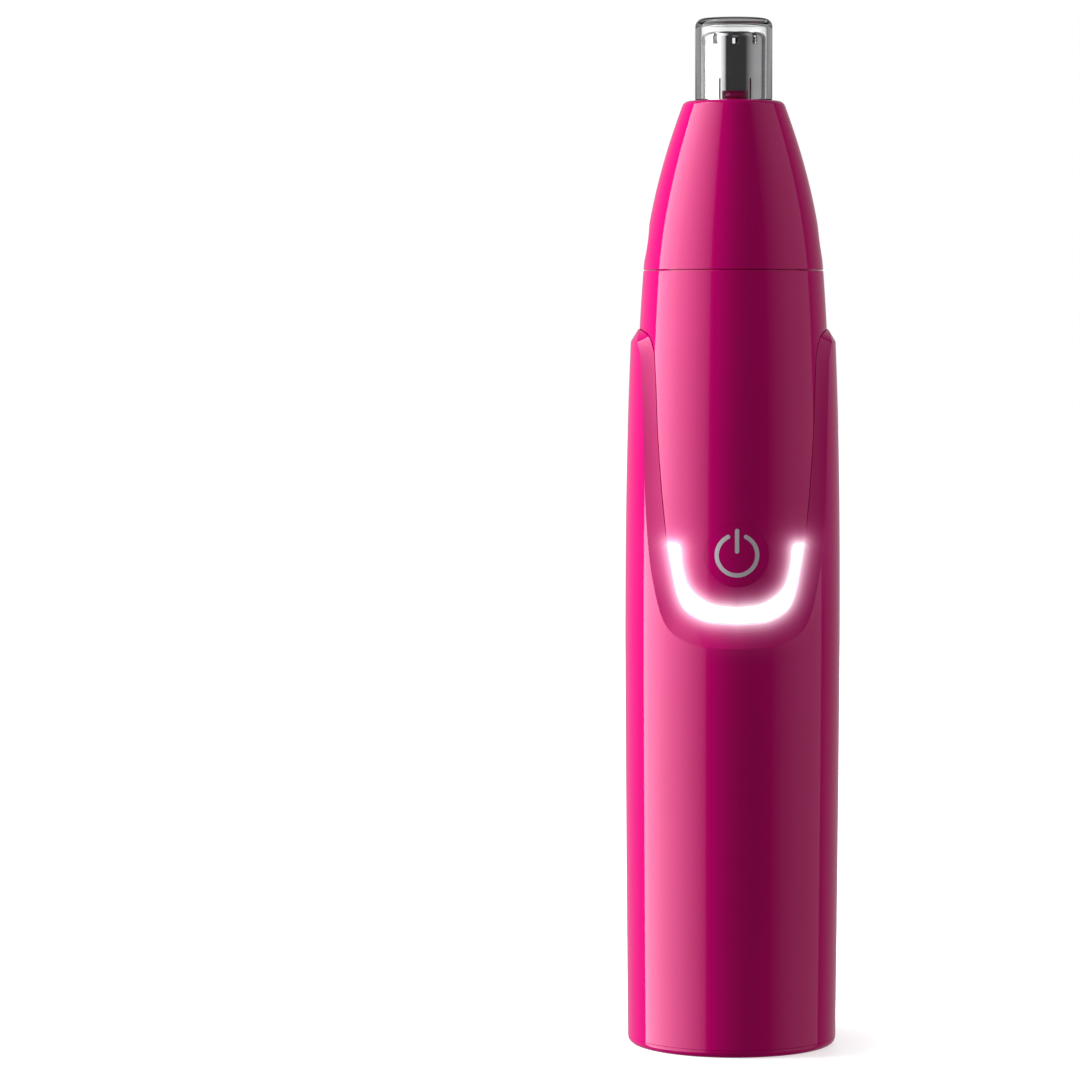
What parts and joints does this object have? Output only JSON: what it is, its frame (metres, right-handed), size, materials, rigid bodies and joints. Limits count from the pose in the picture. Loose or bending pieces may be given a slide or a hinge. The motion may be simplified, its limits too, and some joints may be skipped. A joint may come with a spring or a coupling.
{
  "type": "nose hair trimmer",
  "caption": "Pocket nose hair trimmer with a round glossy handle, power button in a glowing U, pull-off tapered head, slotted metal guard, turning blade and clear cap.",
  "frame": {"origin": "middle of the flat base, on the axis of the handle", "axes": "+Z along the handle towards the cutting head; the power button faces -Y"},
  "size_m": [0.0291, 0.0292, 0.1389],
  "materials": {
    "magenta_plastic": "glossy moulded ABS, magenta",
    "clear_plastic": "clear moulded plastic, polished",
    "light_plastic": "white light guide, lit from behind",
    "icon_grey": "grey printed inlay",
    "polished_steel": "polished stainless steel",
    "steel": "plain machined steel",
    "dark_plastic": "black moulded nylon",
    "bronze": "sintered bronze",
    "copper": "enamelled copper",
    "magnet": "sintered ferrite",
    "seal_rubber": "soft silicone rubber",
    "board_green": "green solder mask on glass fibre",
    "lamp_white": "small white lamp bodies",
    "cell_wrap": "blue shrink wrap over the steel can"
  },
  "bodies": {
    "handle": {"outer_sleeve": "magenta_plastic", "inner_body": "magenta_plastic", "base_cap": "magenta_plastic", "light_guide": "light_plastic", "base_screws": "steel", "motor_can": "steel", "board_screws": "steel", "motor_screws": "steel", "usb_socket": "steel", "battery_tabs": "steel", "chassis": "dark_plastic", "motor_mount": "dark_plastic", "motor_end_bell": "dark_plastic", "tact_switch": "dark_plastic", "board_chips": "dark_plastic", "motor_bush": "bronze", "motor_brushes": "copper", "motor_magnets": "magnet", "base_seal": "seal_rubber", "button_seal": "seal_rubber", "shaft_seal": "seal_rubber", "circuit_board": "board_green", "ring_lamps": "lamp_white", "battery_cell": "cell_wrap"},
    "rotor": {"motor_shaft": "steel", "armature_core": "steel", "armature_windings": "copper", "commutator": "copper", "drive_coupler": "dark_plastic"},
    "head": {"head_cover": "magenta_plastic", "cutter_guard": "polished_steel", "head_bush": "bronze", "head_seal": "seal_rubber"},
    "blade": {"rotary_blade": "steel", "blade_carrier": "dark_plastic", "blade_shaft": "steel", "drive_socket": "dark_plastic", "spring_collar": "dark_plastic", "blade_spring": "steel"},
    "cap": {"clear_cap": "clear_plastic"},
    "button": {"power_button": "magenta_plastic", "power_icon": "icon_grey", "switch_plunger": "dark_plastic"}
  },
  "joints": [
    {"name": "rotor_spin", "type": "hinge", "parent": "handle", "child": "rotor", "pos_m": [0, 0, 0.09], "axis": [0, 0, 1], "continuous": true},
    {"name": "head_pull", "type": "slide", "parent": "handle", "child": "head", "axis": [0, 0, 1], "range_m": [0, 0.03]},
    {"name": "blade_spin", "type": "hinge", "parent": "head", "child": "blade", "pos_m": [0, 0, 0.12], "axis": [0, 0, 1], "continuous": true},
    {"name": "cap_pull", "type": "slide", "parent": "head", "child": "cap", "axis": [0, 0, 1], "range_m": [0, 0.02]},
    {"name": "button_press", "type": "slide", "parent": "handle", "child": "button", "axis": [0, 1, 0], "range_m": [0, 0.00035], "stiffness_N_per_m": 600}
  ],
  "couplings": [
    {"joint": "blade_spin", "follows": "rotor_spin", "ratio": 1}
  ]
}
